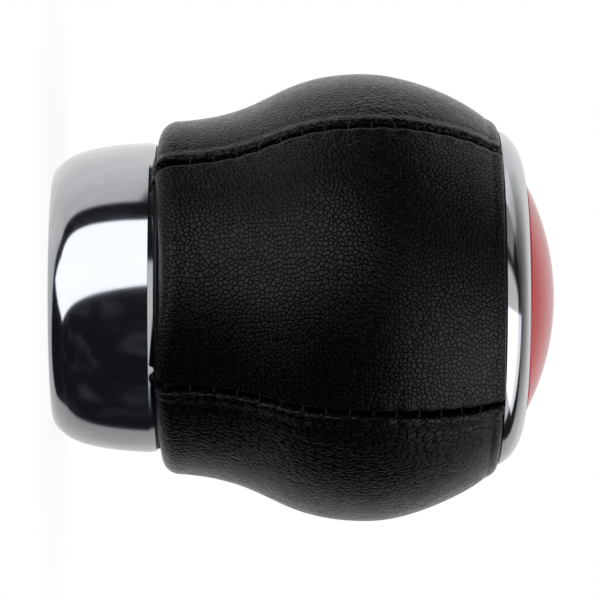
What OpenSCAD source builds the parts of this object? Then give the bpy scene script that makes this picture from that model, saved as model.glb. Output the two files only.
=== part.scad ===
// Gear shift knob: a sewn leather ball on a moulded core, between a chrome collar and a chrome
// bezel with a domed cap. It stands on its collar, with the lever's axis on Z.

/* [Ball] */
// Height of the fullest section above the base
belly_z = 36; // [34:0.5:39]
// Height at which the leather's top edge turns in
shoulder_z = 49.5; // [48:0.5:54]
// How far the leather stands out above the collar
neck_step = 2.6; // [2:0.1:3.2]
// How far the leather's top edge stands out beyond the bezel
shoulder_step = 2.2; // [1.8:0.1:2.6]
// How far the ball swells beyond its top edge
belly_swell = 4.3; // [3.5:0.1:6]

/* [Leather cover] */
// Thickness of the leather
leather_t = 1.2; // [1:0.1:1.4]
// Radius of the rolled edge along a seam
seam_roll = 1.1; // [0.8:0.1:1.4]
// Gap between two rolled edges
seam_gap = 0.12; // [0.08:0.02:0.3]
// Width of the seam allowance that is folded in
allowance_w = 4; // [3:0.5:5]
// Half of the front panel's angle up to the belly
seam_half_low = 38.8; // [36:0.2:42]
// Half of the front panel's angle at the top edge
seam_half_top = 45.2; // [43:0.2:47]
// Height at which the seams start to spread
seam_flare_z = 33; // [30:1:38]
// Height of the bottom edge's round turn
hem_turn = 1.8; // [1.4:0.1:2.4]
// Width of the bottom edge's round turn
hem_reach = 2.2; // [1.8:0.1:2.8]
// Height of the top edge's round turn
top_turn = 1.7; // [1.4:0.1:2.2]
// Width of the top edge's round turn
top_reach = 2.8; // [2.4:0.1:3.2]
// Play between a hem's inner edge and the core
hem_clear = 0.9; // [0.5:0.1:1.4]
// Play between the leather and the foam
cover_clear = 0.2; // [0.15:0.05:0.4]

/* [Collar] */
// Height of the collar
collar_h = 11.8; // [11:0.1:14]
// Width of the ring that the collar stands on
foot_wall = 2; // [1.6:0.1:2.4]
// How far the collar widens from that ring to its upper edge
collar_flare = 4; // [3.6:0.1:4.6]
// How much of that lies above the rounded foot
collar_taper = 1.85; // [1.6:0.05:2.1]
// Height of the rounded foot
foot_round = 1.7; // [1.4:0.1:2]
// Radius of the collar's upper edge
collar_edge = 0.5; // [0.3:0.1:0.7]
// Wall of the collar round the foot of the core
collar_wall = 1.7; // [1.4:0.1:2]
// Depth of the collar above its web, where the core stands
collar_seat = 2.8; // [2.4:0.1:3.4]
// Width of the land between the screws' seats and the recess's wall
seat_land = 0.15; // [0.1:0.05:0.4]
// Thickness of the collar's web, above the recess for the gaiter
web_t = 3; // [2.6:0.1:3.4]

/* [Trim ring] */
// Height of the black ring between collar and leather
trim_show = 0.7; // [0.5:0.1:1.2]
// How far the ring stands back from the collar's side
trim_inset = 0.4; // [0.2:0.1:0.8]
// Depth of its spigot inside the collar
trim_spigot = 1.6; // [1.2:0.1:2]
// Width of the spigot
trim_spigot_w = 1.5; // [1.2:0.1:1.8]

/* [Bezel and cap] */
// Height of the black edge between leather and bezel
flange_show = 0.35; // [0.25:0.05:0.6]
// How far that edge stands back from the bezel's side
flange_inset = 0.35; // [0.2:0.05:0.6]
// Thickness of the carrier's deck
deck_t = 1.4; // [1.2:0.1:1.8]
// Depth of the carrier's spigot in the core
carrier_spigot = 1.5; // [1.2:0.1:2]
// Height of the bezel
bezel_h = 3; // [2.8:0.1:3.4]
// Width of the bezel
bezel_w = 5.6; // [5:0.05:6.2]
// Height of the ellipse that the bezel's round is part of
bezel_bulge = 3.9; // [3.6:0.05:4.4]
// Wall of the bezel
bezel_wall = 1.3; // [1.1:0.1:1.5]
// Wall of the bezel's lip round the cap
lip_t = 1; // [0.8:0.1:1.2]
// How far the cap's rim stands above the bezel
cap_proud = 0.35; // [0:0.05:0.6]
// Rise of the cap's dome
dome_rise = 3.3; // [2.6:0.1:4]
// Wall of the cap
cap_t = 2; // [1.8:0.1:2.4]
// Width of the cap's rim outside the adhesive ring
cap_edge = 0.4; // [0.2:0.05:0.6]
// Thickness of the adhesive ring
adhesive_t = 0.4; // [0.3:0.1:0.6]
// Width of the adhesive ring
adhesive_w = 2; // [1.6:0.1:2.4]

/* [Core] */
// Wall of the core round its screws
core_wall = 1.05; // [0.9:0.05:1.4]
// How far the core's head reaches beyond the cap
head_step = 0.65; // [0.4:0.05:0.8]
// Thickness of the core's head
head_t = 3.5; // [3:0.5:4.5]
// Number of fins that hold the foam
fin_count = 6; // [4:1:8]
// Thickness of a fin
fin_t = 2; // [1.6:0.2:2.4]
// Foam left outside the fins
fin_cover = 4.5; // [4:0.5:5.5]
// Radius of the holes through the fins
fin_hole_r = 1.6; // [1.2:0.2:2]
// Distance between a fin's two holes
fin_hole_pitch = 8; // [6:0.5:10]

/* [Lever socket] */
// Radius of the socket for the lever's shank
sleeve_r = 7; // [6.8:0.1:7.2]
// Height at which the threaded insert starts
insert_z = 17; // [16.5:0.5:18.5]
// Length of the threaded insert
insert_len = 16; // [14:1:18]
// Radius of the insert's bore, which takes an M12 x 1.25 thread
thread_r = 5.375; // [5:0.025:5.5]
// Wall of the insert
insert_wall = 2.8; // [2.4:0.1:3]
// Depth of the grooves in the insert's knurl
knurl_depth = 0.3; // [0.2:0.05:0.4]
// Number of ridges on the knurl
knurl_count = 24; // [18:2:30]
// Chamfer at the mouth of the thread
thread_chamfer = 0.8; // [0.5:0.1:1]
// Room for the lever's tip above the insert
tip_room = 2; // [1:0.5:3]
// Floor between the lever's socket and the hollow above it
socket_floor = 3; // [2:0.5:4]
// Radius of that hollow
hollow_r = 6.4; // [6:0.1:6.8]

/* [Screws] */
// Radius of a screw's thread
screw_r = 1.25; // [1.1:0.05:1.3]
// Radius of a screw's head
screw_head_r = 2.2; // [2:0.1:2.4]
// Height of a screw's head
screw_head_h = 1.5; // [1.3:0.1:1.6]
// Length of a carrier screw
carrier_screw_len = 9; // [7:0.5:11]
// Length of a collar screw
collar_screw_len = 7; // [6:0.5:8]
// Number of screws at each end
screw_count = 3; // [3:1:4]
// Play between parts that slide together
fit_clear = 0.15; // [0.1:0.05:0.25]

/* [Hidden] */
$fn = 96;

// Heights, from the base up
web_top = collar_h - collar_seat;
gaiter_depth = web_top - web_t;
hem_z = collar_h + trim_show;
socket_top = insert_z + insert_len + tip_room;
hollow_z = socket_top + socket_floor;
cover_top = shoulder_z + top_turn;
head_z = cover_top - head_t;
deck_top = cover_top + deck_t;
cap_z = deck_top + adhesive_t;
bezel_z = cover_top + flange_show;
bezel_top = bezel_z + bezel_h;
rim_z = bezel_top + cap_proud;
dome_top = rim_z + dome_rise;

// Radii at the lower end, from the lever's shank outwards
gaiter_r = sleeve_r + 2 * screw_head_r + 3 * fit_clear + seat_land;
lower_screw_at = (sleeve_r + fit_clear + gaiter_r - seat_land) / 2;
collar_foot_r = gaiter_r + foot_wall;
collar_r = collar_foot_r + collar_flare;
collar_in_r = collar_r - collar_wall;
foot_r = collar_in_r - trim_spigot_w - 2 * fit_clear;
trim_r = collar_r - trim_inset;
neck_r = collar_r + neck_step;

// Radii at the upper end, from the hollow in the core outwards
insert_r = thread_r + insert_wall;
barrel_r = hollow_r + 2 * (screw_r + core_wall);
upper_screw_at = (hollow_r + barrel_r) / 2;
adhesive_in_r = upper_screw_at + screw_head_r + 3 * fit_clear;
adhesive_r = adhesive_in_r + adhesive_w;
cap_r = adhesive_r + cap_edge;
dome_r = (pow(cap_r, 2) + pow(dome_rise, 2)) / (2 * dome_rise);
head_r = cap_r + head_step;
lip_r = cap_r + fit_clear;
bezel_r = lip_r + bezel_w;
flange_r = bezel_r - flange_inset;
bezel_reach = bezel_w / cos(asin((bezel_bulge - bezel_h) / bezel_bulge));
spigot_top = bezel_z + bezel_h / 6;
spigot_r = lip_r - fit_clear + (bezel_reach - bezel_wall)
    * sqrt(1 - pow((spigot_top - bezel_top + bezel_bulge) / (bezel_bulge - bezel_wall), 2));
shoulder_r = bezel_r + shoulder_step;
belly_r = shoulder_r + belly_swell;

// Depths below the leather's surface
foam_in = leather_t + cover_clear;
channel_depth = 2 * leather_t + cover_clear;
skim = 0.01;

// The curves' step counts
turn_steps = 4;
low_steps = 9;
high_steps = 8;
roll_steps = 4;
across_steps = 10;

// A point on a Bezier curve
function bezier(p, t) = pow(1 - t, 3) * p[0] + 3 * t * pow(1 - t, 2) * p[1]
    + 3 * pow(t, 2) * (1 - t) * p[2] + pow(t, 3) * p[3];

// The points of a Bezier curve, without its first one
function curve(p, steps) = [for (i = [1 : steps]) bezier(p, i / steps)];

// The ball's meridian as [radius, height], at a depth below the leather's surface. The turns at
// the hems keep a least size, so they stay convex at every depth.
least_turn = leather_t / 3;
function meridian(depth) =
    let (base = hem_z + depth,
         roof = cover_top - depth,
         low = hem_z + max(hem_turn, depth + least_turn),
         high = cover_top - max(top_turn, depth + least_turn),
         neck = neck_r - depth,
         belly = belly_r - depth,
         shoulder = shoulder_r - 0.85 * depth,
         low_turn = neck - max(hem_reach - depth, least_turn),
         high_turn = shoulder - max(top_reach - depth, least_turn),
         swell = belly - neck,
         lift = belly_z - low,
         fall = belly - shoulder,
         drop = high - belly_z)
    concat(
        [[foot_r + hem_clear, base], [low_turn, base]],
        curve([[low_turn, base], [(low_turn + neck) / 2, base],
            [neck - 0.05 * hem_reach, (low + base) / 2], [neck, low]], turn_steps),
        curve([[neck, low], [neck + 0.1 * swell, low + 0.54 * lift],
            [belly, belly_z - 0.52 * lift], [belly, belly_z]], low_steps),
        curve([[belly, belly_z], [belly, belly_z + 0.45 * drop],
            [shoulder + 0.275 * fall, high - 0.105 * drop], [shoulder, high]], high_steps),
        curve([[shoulder, high], [shoulder - 0.24 * top_reach, high + 0.47 * (roof - high)],
            [shoulder - 0.54 * top_reach, roof], [high_turn, roof]], turn_steps),
        [[head_r + hem_clear, roof]]);

// The same meridian at a depth along the lines that join the leather's skin to its doubled inside
function level(depth) =
    let (skin = meridian(0), deep = meridian(2 * leather_t))
    [for (i = [0 : len(skin) - 1]) skin[i] + (deep[i] - skin[i]) * depth / (2 * leather_t)];

// Half of the front panel's angle at a height: it widens above the belly
function seam_half(z) = seam_half_low + (seam_half_top - seam_half_low)
    * pow(max(0, z - seam_flare_z) / (cover_top - seam_flare_z), 2);

// The steps across a panel, from its seam inwards: [arc length, depth] outside and inside
outer_edge = [for (i = [0 : roll_steps])
    let (a = 90 * i / roll_steps) [seam_roll * (1 - cos(a)), seam_roll * (1 - sin(a))]];
allowance_step = allowance_w + leather_t / 12;
inner_edge = [[0, 2 * leather_t], [0.4 * allowance_w, 2 * leather_t], [allowance_w, 2 * leather_t],
    [allowance_step, leather_t], [allowance_step + leather_t / 2, leather_t]];

// A panel's points at one station: from the left seam to the right one at a surface's depths
function across(edge, half, radius) =
    let (turns = [for (e = edge) half - (e[0] + seam_gap / 2) / radius * 180 / PI],
         last = turns[len(turns) - 1],
         flat = edge[len(edge) - 1][1])
    concat(
        [for (i = [0 : len(edge) - 1]) [-turns[i], edge[i][1]]],
        [for (i = [1 : across_steps - 1]) [last * (2 * i / across_steps - 1), flat]],
        [for (i = [len(edge) - 1 : -1 : 0]) [turns[i], edge[i][1]]]);

// One panel of the cover: its rolled edges dip into the seams, and its seam allowances lie
// doubled inside. The middle of the panel looks along facing.
module leather_panel(facing, widest) {
    skin = level(0);
    deep = level(2 * leather_t);
    rows = len(skin);
    rings = [for (i = [0 : rows - 1])
        let (half = widest ? 90 - seam_half(skin[i][1]) : seam_half(skin[i][1]),
             outside = across(outer_edge, half, skin[i][0]),
             inside = across(inner_edge, half, skin[i][0]),
             loop = concat(outside, [for (k = [len(inside) - 1 : -1 : 0]) inside[k]]))
        [for (p = loop)
            let (at = skin[i] + (deep[i] - skin[i]) * p[1] / (2 * leather_t),
                 turn = facing + p[0])
            [at[0] * cos(turn), at[0] * sin(turn), at[1]]]];
    side = len(rings[0]) / 2;
    ring = 2 * side;
    walls = [for (i = [0 : rows - 2], k = [0 : ring - 1])
        let (a = i * ring + k, b = i * ring + (k + 1) % ring, c = b + ring, d = a + ring)
        each [[a, d, c], [a, c, b]]];
    function cap_faces(base, flip) = [for (k = [0 : side - 2])
        let (a = base + k, b = a + 1, d = base + ring - 1 - k, c = d - 1)
        each (flip ? [[a, c, b], [a, d, c]] : [[a, b, c], [a, c, d]])];
    polyhedron(points = [for (loop = rings) each loop],
        faces = concat(walls, cap_faces(0, false), cap_faces((rows - 1) * ring, true)));
}

module leather_front() { color("#2b272a") leather_panel(-90, false); }
module leather_right() { color("#2b272a") leather_panel(0, true); }
module leather_rear() { color("#2b272a") leather_panel(90, false); }
module leather_left() { color("#2b272a") leather_panel(180, true); }

// Copies of a child round the axis
module around(count, radius, start = 0) {
    for (i = [0 : count - 1]) rotate(start + 360 * i / count) translate([radius, 0, 0]) children();
}

// The core's outline that the foam is moulded round
module core_envelope() {
    translate([0, 0, web_top]) cylinder(r = foot_r, h = hem_z + foam_in + fin_t - web_top);
    translate([0, 0, web_top]) cylinder(r = barrel_r, h = cover_top - web_top);
    translate([0, 0, head_z]) cylinder(r = head_r, h = head_t);
    core_fins();
}

// Fins that follow the ball inside the foam, with holes that the foam keys through
module core_fins() {
    outline = [for (p = meridian(fin_cover)) if (p[0] > foot_r + fin_t / 4) p];
    low = outline[0][1];
    high = outline[len(outline) - 1][1];
    around(fin_count, 0)
        rotate([90, 0, 0])
            translate([0, 0, -fin_t / 2])
                difference() {
                    linear_extrude(fin_t)
                        polygon(concat([[hollow_r + screw_r, low]], outline,
                            [[hollow_r + screw_r, high]]));
                    for (z = [belly_z - fin_hole_pitch, belly_z])
                        translate([(barrel_r + belly_r - fin_cover) / 2, z, -skim])
                            cylinder(r = fin_hole_r, h = fin_t + 2 * skim);
                }
}

module core() {
    color("#26262a")
        difference() {
            core_envelope();
            translate([0, 0, web_top - skim]) cylinder(r = sleeve_r, h = insert_z - web_top + skim);
            insert_blank();
            translate([0, 0, insert_z])
                cylinder(r = thread_r + thread_chamfer, h = insert_len + tip_room);
            translate([0, 0, hollow_z]) cylinder(r = hollow_r, h = cover_top - hollow_z + skim);
            around(screw_count, lower_screw_at, 180 / screw_count)
                translate([0, 0, web_top - skim])
                    cylinder(r = screw_r, h = collar_screw_len - web_t / 2 + skim);
            around(screw_count, upper_screw_at, 180 / fin_count)
                translate([0, 0, deck_top - carrier_screw_len])
                    cylinder(r = screw_r, h = carrier_screw_len);
        }
}

// Foam moulded on the core, with a channel behind each seam for the doubled leather
module foam_padding() {
    color("#d8cfa8")
        difference() {
            rotate_extrude() polygon(foam_section());
            core_envelope();
            intersection() {
                rotate_extrude() polygon(channel_section());
                for (side = [0, 180], hand = [-1, 1]) rotate(side) seam_channel(hand);
            }
        }
}

function foam_section() = concat(level(foam_in),
    [[hollow_r + screw_r, cover_top - foam_in], [hollow_r + screw_r, hem_z + foam_in]]);

// The band of foam that the channels are cut from, from the doubled leather outwards
function channel_section() =
    let (bottom = hem_z - leather_t, top = cover_top + leather_t, out = belly_r + leather_t,
         low_in = foot_r - leather_t, high_in = head_r - leather_t)
    concat([[low_in, hem_z + channel_depth]], level(channel_depth),
        [[high_in, cover_top - channel_depth], [high_in, top], [out, top], [out, bottom],
         [low_in, bottom]]);

// A straight cut along the lower seam and a leaning one along its spread, on one side of the front
module seam_channel(hand) {
    width = 2 * (allowance_w + 5 * cover_clear);
    middle = (seam_flare_z + cover_top) / 2;
    flare_h = cover_top - seam_flare_z;
    shift = shoulder_r * (seam_half_top - seam_half_low) * PI / 180;
    rotate(-90 + hand * seam_half_low) {
        translate([0, -width / 2, hem_z - leather_t]) cube([2 * belly_r, width, middle - hem_z]);
        translate([0, 0, seam_flare_z + flare_h / 9])
            rotate([-hand * atan(1.2 * shift / flare_h), 0, 0])
                translate([0, -width / 2, 0]) cube([2 * belly_r, width, flare_h]);
    }
}

// The knurled insert before its thread is cut
module insert_blank() {
    groove_h = insert_len / 8;
    ribbed = (insert_len - groove_h) / 2;
    for (z = [insert_z, insert_z + ribbed + groove_h])
        translate([0, 0, z])
            linear_extrude(ribbed)
                polygon([for (i = [0 : 2 * knurl_count - 1])
                    let (a = 180 * i / knurl_count, r = insert_r - (i % 2) * knurl_depth)
                    [r * cos(a), r * sin(a)]]);
    translate([0, 0, insert_z + ribbed])
        cylinder(r = insert_r - 3 * knurl_depth, h = groove_h);
}

module lever_insert() {
    color("#c9a24a")
        difference() {
            insert_blank();
            translate([0, 0, insert_z - skim]) cylinder(r = thread_r, h = insert_len + 2 * skim);
            translate([0, 0, insert_z - skim])
                cylinder(r1 = thread_r + thread_chamfer, r2 = thread_r, h = thread_chamfer);
        }
}

// The collar's outer outline, from its foot up
function collar_outline() =
    let (shoulder = collar_r - collar_taper, top = collar_h - collar_edge)
    concat(
        [[collar_foot_r, 0]],
        curve([[collar_foot_r, 0], [collar_foot_r + 0.37 * (shoulder - collar_foot_r), 0],
            [shoulder - 0.26 * (shoulder - collar_foot_r), 0.53 * foot_round],
            [shoulder, foot_round]], 6),
        curve([[shoulder, foot_round],
            [collar_r - 0.43 * collar_taper, foot_round + 0.16 * (top - foot_round)],
            [collar_r - 0.08 * collar_taper, foot_round + 0.5 * (top - foot_round)],
            [collar_r, top]], 12),
        [for (i = [1 : 4]) [collar_r - collar_edge * (1 - cos(22.5 * i)),
            top + collar_edge * sin(22.5 * i)]]);

module lower_collar() {
    chamfer = foot_wall / 4;
    color("#c8ccd2")
        difference() {
            rotate_extrude()
                polygon(concat([[gaiter_r + chamfer, 0]], collar_outline(),
                    [[collar_in_r, collar_h], [collar_in_r, web_top],
                     [sleeve_r + fit_clear, web_top], [sleeve_r + fit_clear, gaiter_depth],
                     [gaiter_r, gaiter_depth], [gaiter_r, chamfer]]));
            around(screw_count, lower_screw_at, 180 / screw_count) {
                translate([0, 0, gaiter_depth - skim])
                    cylinder(r = screw_r + fit_clear, h = web_t + 2 * skim);
                translate([0, 0, gaiter_depth - skim])
                    cylinder(r = screw_head_r + fit_clear, h = screw_head_h + skim);
            }
        }
}

// Pan head screw with a cross recess, its head's seat at the origin and its thread downwards
module pan_screw(length) {
    crown = 0.3 * screw_head_h;
    slot = [0.23 * screw_head_r, 1.1 * screw_head_r];
    difference() {
        rotate_extrude()
            polygon(concat([[0, -length], [0.6 * screw_r, -length], [screw_r, 0.8 * screw_r - length],
                [screw_r, 0], [screw_head_r, 0], [screw_head_r, screw_head_h - crown]],
                [for (i = [1 : 4]) [screw_head_r * cos(22.5 * i),
                    screw_head_h - crown * (1 - sin(22.5 * i))]]));
        for (a = [0, 90])
            rotate(a) translate([-slot[1] / 2, -slot[0] / 2, screw_head_h / 3])
                cube([slot[1], slot[0], screw_head_h]);
    }
}

module collar_screws() {
    color("#8d9096")
        around(screw_count, lower_screw_at, 180 / screw_count)
            translate([0, 0, gaiter_depth + screw_head_h])
                mirror([0, 0, 1]) pan_screw(collar_screw_len);
}

module carrier_screws() {
    color("#8d9096")
        around(screw_count, upper_screw_at, 180 / fin_count)
            translate([0, 0, deck_top]) pan_screw(carrier_screw_len);
}

module trim_ring() {
    edge = trim_show / 4;
    inner = foot_r + fit_clear;
    spigot = collar_in_r - fit_clear;
    color("#18181a")
        rotate_extrude()
            polygon([[inner, collar_h - trim_spigot], [spigot, collar_h - trim_spigot],
                [spigot, collar_h], [trim_r - edge, collar_h], [trim_r, collar_h + edge],
                [trim_r, hem_z - edge], [trim_r - edge, hem_z], [inner, hem_z]]);
}

module bezel_carrier() {
    spigot = hollow_r - fit_clear;
    bevel = carrier_spigot / 5;
    low = cover_top - carrier_spigot;
    ledge = spigot_r - bezel_wall;
    color("#1c1c1f")
        difference() {
            rotate_extrude()
                polygon([[0, low], [spigot - bevel, low], [spigot, low + bevel],
                    [spigot, cover_top], [flange_r, cover_top], [flange_r, bezel_z],
                    [spigot_r, bezel_z], [spigot_r, spigot_top], [ledge, spigot_top],
                    [ledge, deck_top], [0, deck_top]]);
            around(screw_count, upper_screw_at, 180 / fin_count)
                translate([0, 0, cover_top - carrier_spigot])
                    cylinder(r = screw_r + fit_clear, h = carrier_spigot + deck_t + skim);
        }
}

// The bezel's outline as part of an ellipse, from its skirt to the lip round the cap
function bezel_arc(inset) =
    let (centre = bezel_top - bezel_bulge,
         tall = bezel_bulge - inset,
         wide = bezel_reach - inset,
         start = asin((bezel_bulge - bezel_h) / tall))
    [for (i = [0 : 12]) let (a = start + (90 - start) * i / 12)
        [lip_r + wide * cos(a), centre + tall * sin(a)]];

module top_bezel() {
    inner = bezel_arc(bezel_wall);
    color("#c8ccd2")
        rotate_extrude()
            polygon(concat(bezel_arc(0), [[lip_r, deck_top], [lip_r + lip_t, deck_top]],
                [for (i = [len(inner) - 1 : -1 : 0]) if (inner[i][0] > lip_r + lip_t) inner[i]]));
}

module cap_adhesive() {
    color("#e8e6de")
        translate([0, 0, deck_top])
            difference() {
                cylinder(r = adhesive_r, h = adhesive_t);
                translate([0, 0, -skim]) cylinder(r = adhesive_in_r, h = adhesive_t + 2 * skim);
            }
}

// Points on the cap's dome, or on the hollow below it, from the rim to the middle
function dome(inset, from_r) = [for (i = [0 : 10])
    let (r = from_r * (1 - i / 10)) [r, dome_top - dome_r + sqrt(pow(dome_r - inset, 2) - r * r)]];

module shift_cap() {
    ceiling = dome(cap_t, adhesive_in_r);
    color("#a51c24")
        rotate_extrude()
            polygon(concat([[adhesive_in_r, cap_z], [cap_r, cap_z]], dome(0, cap_r),
                [for (i = [10 : -1 : 0]) ceiling[i]]));
}

core();
foam_padding();
lever_insert();
leather_front();
leather_right();
leather_rear();
leather_left();
lower_collar();
trim_ring();
collar_screws();
bezel_carrier();
carrier_screws();
top_bezel();
cap_adhesive();
shift_cap();
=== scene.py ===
"""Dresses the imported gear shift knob: sewn leather ball, chrome collar and bezel, red cap."""

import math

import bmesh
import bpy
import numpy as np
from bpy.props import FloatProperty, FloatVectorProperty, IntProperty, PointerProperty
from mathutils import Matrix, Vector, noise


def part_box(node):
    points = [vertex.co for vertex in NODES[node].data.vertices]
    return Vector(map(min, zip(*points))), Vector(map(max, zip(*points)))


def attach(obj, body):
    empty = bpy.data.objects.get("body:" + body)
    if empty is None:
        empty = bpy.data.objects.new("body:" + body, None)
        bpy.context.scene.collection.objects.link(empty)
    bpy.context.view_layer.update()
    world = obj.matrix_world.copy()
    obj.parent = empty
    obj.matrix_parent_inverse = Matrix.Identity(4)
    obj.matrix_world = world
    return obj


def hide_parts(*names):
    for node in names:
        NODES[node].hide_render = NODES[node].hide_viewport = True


bl_info = {
    "name": "Gear Shift Knob Dress",
    "version": (1, 0, 0),
    "blender": (4, 5, 0),
    "location": "3D View > Sidebar > Knob",
    "description": "Builds the leather, stitches, chrome, cap and studio of a gear shift knob",
    "category": "Object",
}

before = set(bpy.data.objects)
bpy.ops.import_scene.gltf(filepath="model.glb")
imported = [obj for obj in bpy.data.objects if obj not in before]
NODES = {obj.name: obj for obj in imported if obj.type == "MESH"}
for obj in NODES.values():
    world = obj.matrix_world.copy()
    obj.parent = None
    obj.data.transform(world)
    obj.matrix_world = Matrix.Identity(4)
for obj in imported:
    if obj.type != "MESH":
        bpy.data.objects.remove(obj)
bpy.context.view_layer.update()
MM = 0.001


def box_mm(node):
    """A node's lowest and highest corners in millimetres."""
    low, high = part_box(node)
    return np.array(low) / MM, np.array(high) / MM


# Sizes in millimetres and angles in degrees, from the frame or as the part's source has them
COVER_LOW, COVER_HIGH = box_mm("leather_front")
HEM_Z, COVER_TOP, BELLY_R = COVER_LOW[2], COVER_HIGH[2], -COVER_LOW[1]
COLLAR_R, COLLAR_H = box_mm("lower_collar")[1][[0, 2]]
BEZEL_R, BEZEL_TOP = box_mm("top_bezel")[1][[0, 2]]
CAP_R, DOME_TOP = box_mm("shift_cap")[1][[0, 2]]
DECK_TOP = box_mm("top_bezel")[0][2]
CAP_Z = box_mm("shift_cap")[0][2]
BELLY_Z, NECK_R, HEM_TURN, HEM_REACH = 36.0, COLLAR_R + 2.6, 1.8, 2.2
LEATHER_T, ALLOWANCE_W = 1.2, 4.0
SEAM_HALF_LOW, SEAM_HALF_TOP, SEAM_FLARE_Z = 38.8, 45.2, 33.0
# The finer shape that only this script has: the skin's upper turn, its gaps and bulges, the cap's rim
SHOULDER_R, TOP_TURN, TOP_REACH = BEZEL_R + 1.45, 1.1, 1.7
SEAM_GAP, SEAM_CROWN, THREAD_LIFT = 0.03, 0.2, 0.32
HEM_BULGE, HEM_SWAY, TOP_BULGE = 0.3, 0.3, 0.45
RIM_Z = BEZEL_TOP + 0.12
# The radii at which the two hems end, under the rings
HEM_IN_R, TOP_IN_R = 15.4, 15.3
# Each panel's side, the angle that it faces, and whether it is one of the two wide side panels
PANELS = (("front", -90.0, False), ("right", 0.0, True), ("rear", 90.0, False), ("left", 180.0, True))

# The photograph's view, in pixels, and the camera: the knob lies on its side there, so it is rolled
PHOTO_WIDTH, PHOTO_SCALE = 600, 8.576
PHOTO_BASE_COLUMN, PHOTO_AXIS_ROW = 54.3, 297.6
CAMERA_AWAY, CAMERA_SENSOR, CAMERA_CLIP = 420.0, 36.0, (0.01, 20)
CAMERA_BACK = Vector((0.1564, -0.9877, 0.0))
CAMERA_UP = Vector((-0.9877, -0.1564, 0.0))


# Shapes in numbers

def bezier(p0, p1, p2, p3, count):
    """Points on a Bezier curve, without its first one."""
    t = np.linspace(0, 1, count + 1)[1:, None]
    corners = [np.array(p, float) for p in (p0, p1, p2, p3)]
    weights = ((1 - t) ** 3, 3 * t * (1 - t) ** 2, 3 * t ** 2 * (1 - t), t ** 3)
    return sum(w * c for w, c in zip(weights, corners))


def bell(value, middle, width):
    """A soft bump that is 1 at its middle."""
    return np.exp(-((value - middle) / width) ** 2)


def meridian(depth, flat, turn, low_steps, high_steps):
    """The ball's meridian as radius and height, at a depth below the leather's surface."""
    # Each curve's handles are shares of its own rise and swell
    least = LEATHER_T / 3
    base, roof = HEM_Z + depth, COVER_TOP - depth
    low = HEM_Z + max(HEM_TURN, depth + least)
    high = COVER_TOP - max(TOP_TURN, depth + least)
    neck, belly, shoulder = NECK_R - depth, BELLY_R - depth, SHOULDER_R - 0.85 * depth
    low_turn = neck - max(HEM_REACH - depth, least)
    high_turn = shoulder - max(TOP_REACH - depth, least)
    puff = TOP_BULGE * max(0, 1 - depth / LEATHER_T)
    swell, lift, fall, drop = belly - neck, BELLY_Z - low, belly - shoulder, high - BELLY_Z
    hem = np.linspace((HEM_IN_R, base), (low_turn, base), flat)
    top = np.linspace((high_turn, roof), (TOP_IN_R, roof), flat)[1:]
    return np.concatenate([
        hem,
        bezier((low_turn, base), ((low_turn + neck) / 2, base - HEM_BULGE),
               (neck - 0.05 * HEM_REACH, (low + base) / 2 - HEM_BULGE / 2), (neck, low), turn),
        bezier((neck, low), (neck + 0.1 * swell, low + 0.54 * lift),
               (belly, BELLY_Z - 0.52 * lift), (belly, BELLY_Z), low_steps),
        bezier((belly, BELLY_Z), (belly, BELLY_Z + 0.45 * drop),
               (shoulder + 0.275 * fall, high - 0.105 * drop), (shoulder, high), high_steps),
        bezier((shoulder, high), (shoulder - 0.17 * TOP_REACH, high + 0.75 * (roof - high)),
               (shoulder - 0.5 * TOP_REACH, roof + puff), (high_turn, roof), turn),
        top,
    ])


def seam_half(z):
    """Half of the front panel's angle in degrees at a height."""
    spread = np.maximum(0, z - SEAM_FLARE_Z) / (COVER_TOP - SEAM_FLARE_Z)
    return SEAM_HALF_LOW + (SEAM_HALF_TOP - SEAM_HALF_LOW) * spread ** 2


def walk(points):
    """The length walked along a row of points, up to each of them."""
    return np.concatenate([[0], np.cumsum(np.linalg.norm(np.diff(points, axis=0), axis=1))])


def fillet(corners, steps=5):
    """A closed outline from corners of (radius, height, rounding)."""
    outline = []
    count = len(corners)
    for i, (r, z, rounding) in enumerate(corners):
        here = np.array((r, z), float)
        before = np.array(corners[i - 1][:2], float) - here
        after = np.array(corners[(i + 1) % count][:2], float) - here
        before, after = before / np.linalg.norm(before), after / np.linalg.norm(after)
        half = math.acos(max(-1, min(1, float(before @ after)))) / 2
        reach = rounding / math.tan(half)
        for t in np.linspace(0, 1, steps):
            start, end = here + before * reach, here + after * reach
            outline.append((1 - t) ** 2 * start + 2 * t * (1 - t) * here + t ** 2 * end)
    return outline


# Meshes

SHARP_ANGLE = 40
# Metres between points that merge, and the radius in millimetres below which a ring is a pole
MERGE_DIST, POLE_R = 1e-7, 1e-6


def show(obj):
    """Links an object to the scene."""
    bpy.context.scene.collection.objects.link(obj)
    return obj


def mesh_object(name, points, faces, material):
    """A smooth mesh object from points in millimetres."""
    mesh = bpy.data.meshes.new(name)
    mesh.from_pydata((np.asarray(points, float) * MM).tolist(), [], faces)
    mesh.shade_smooth()
    mesh.materials.append(material)
    mesh.validate()
    return show(bpy.data.objects.new(name, mesh))


def closed_solid(name, points, faces, material, sharp=SHARP_ANGLE):
    """A closed solid with its faces turned outwards, smooth but for edges past an angle in degrees."""
    obj = mesh_object(name, points, faces, material)
    work = bmesh.new()
    work.from_mesh(obj.data)
    bmesh.ops.remove_doubles(work, verts=work.verts, dist=MERGE_DIST)
    bmesh.ops.recalc_face_normals(work, faces=work.faces)
    work.to_mesh(obj.data)
    work.free()
    obj.data.shade_smooth()
    obj.data.set_sharp_from_angle(angle=math.radians(sharp))
    return obj


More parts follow.
